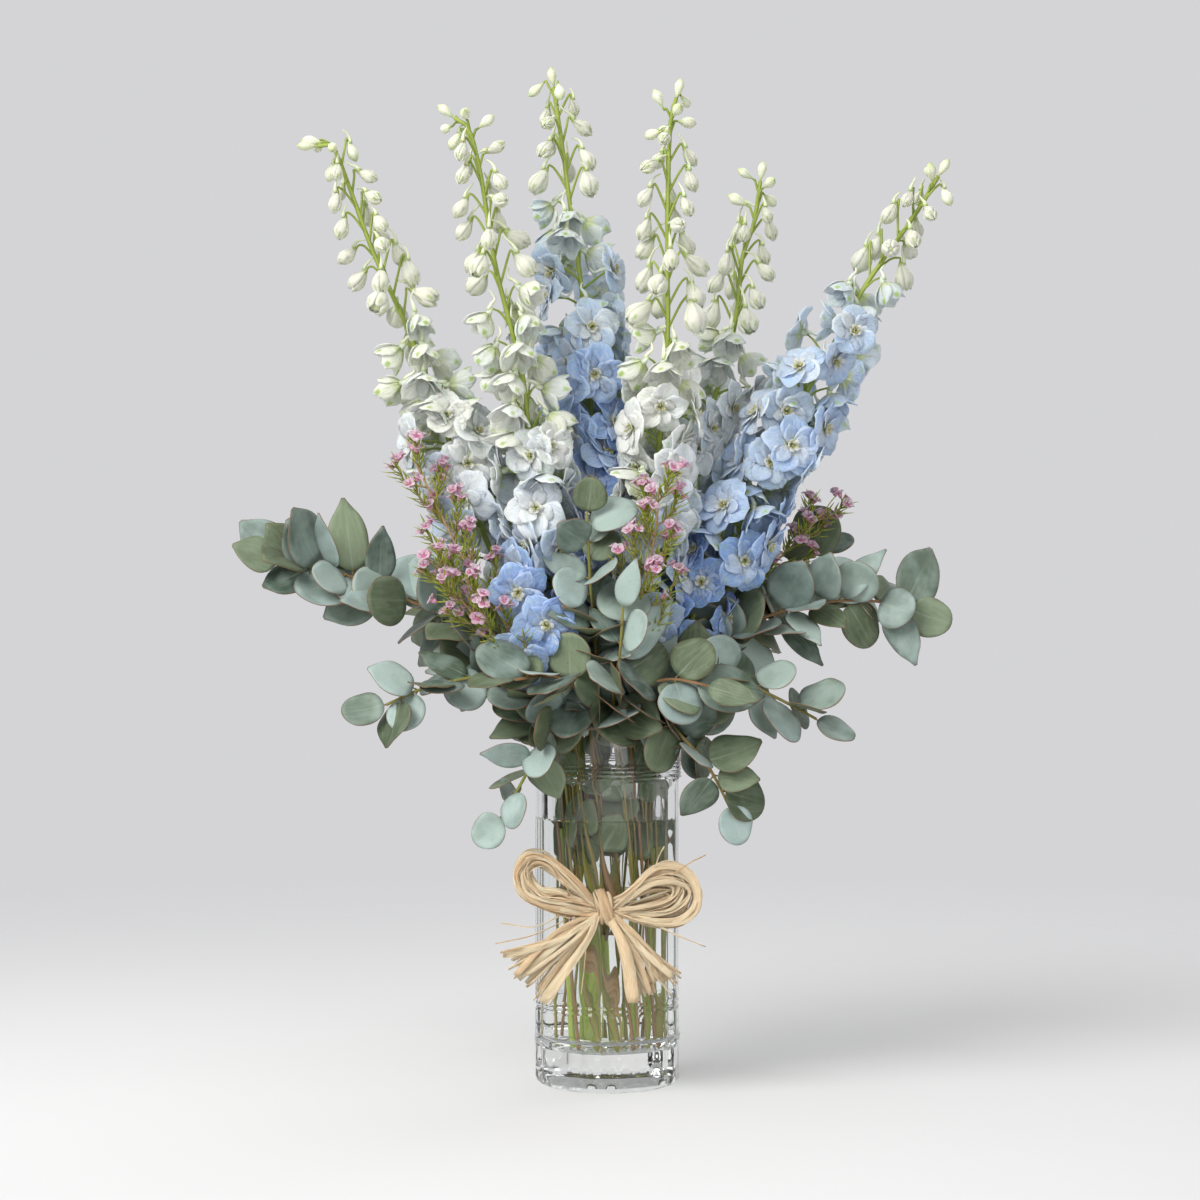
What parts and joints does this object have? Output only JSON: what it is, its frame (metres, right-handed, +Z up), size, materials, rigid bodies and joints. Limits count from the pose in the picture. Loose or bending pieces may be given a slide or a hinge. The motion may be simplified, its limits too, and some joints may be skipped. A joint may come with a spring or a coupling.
{
  "type": "delphinium arrangement in a glass vase",
  "caption": "Cut-glass cylinder vase with a raffia bow, holding tall delphinium spikes, round-leaved eucalyptus and waxflower sprays in water.",
  "frame": {"origin": "centre of the vase's foot, on the surface it stands on", "axes": "+Z up along the vase's axis; -Y the front, where the bow is; +X to the right seen from the front"},
  "size_m": [0.4915, 0.272, 0.7117],
  "materials": {
    "glass": "gloss",
    "water": "gloss",
    "raffia": "matte",
    "stalk": "satin",
    "floret": "matte",
    "leaf": "matte",
    "waxflower": "satin"
  },
  "bodies": {
    "root": {"vase": "glass", "water": "water", "raffia_bow": "raffia", "spike_1_stem": "stalk", "spike_1_florets": "floret", "spike_2_stem": "stalk", "spike_2_florets": "floret", "spike_3_stem": "stalk", "spike_3_florets": "floret", "spike_4_stem": "stalk", "spike_4_florets": "floret", "spike_5_stem": "stalk", "spike_5_florets": "floret", "spike_6_stem": "stalk", "spike_6_florets": "floret", "eucalyptus_left": "leaf", "eucalyptus_left_low": "leaf", "eucalyptus_droop_left": "leaf", "eucalyptus_low_front_left": "leaf", "eucalyptus_front": "leaf", "eucalyptus_sprig": "leaf", "eucalyptus_low_front_right": "leaf", "eucalyptus_droop_right": "leaf", "eucalyptus_right_low": "leaf", "eucalyptus_right": "leaf", "eucalyptus_upper_right": "leaf", "eucalyptus_back_right": "leaf", "eucalyptus_back": "leaf", "eucalyptus_back_left": "leaf", "waxflower_left": "waxflower", "waxflower_left_low": "waxflower", "waxflower_centre": "waxflower", "waxflower_right": "waxflower"}
  },
  "joints": []
}
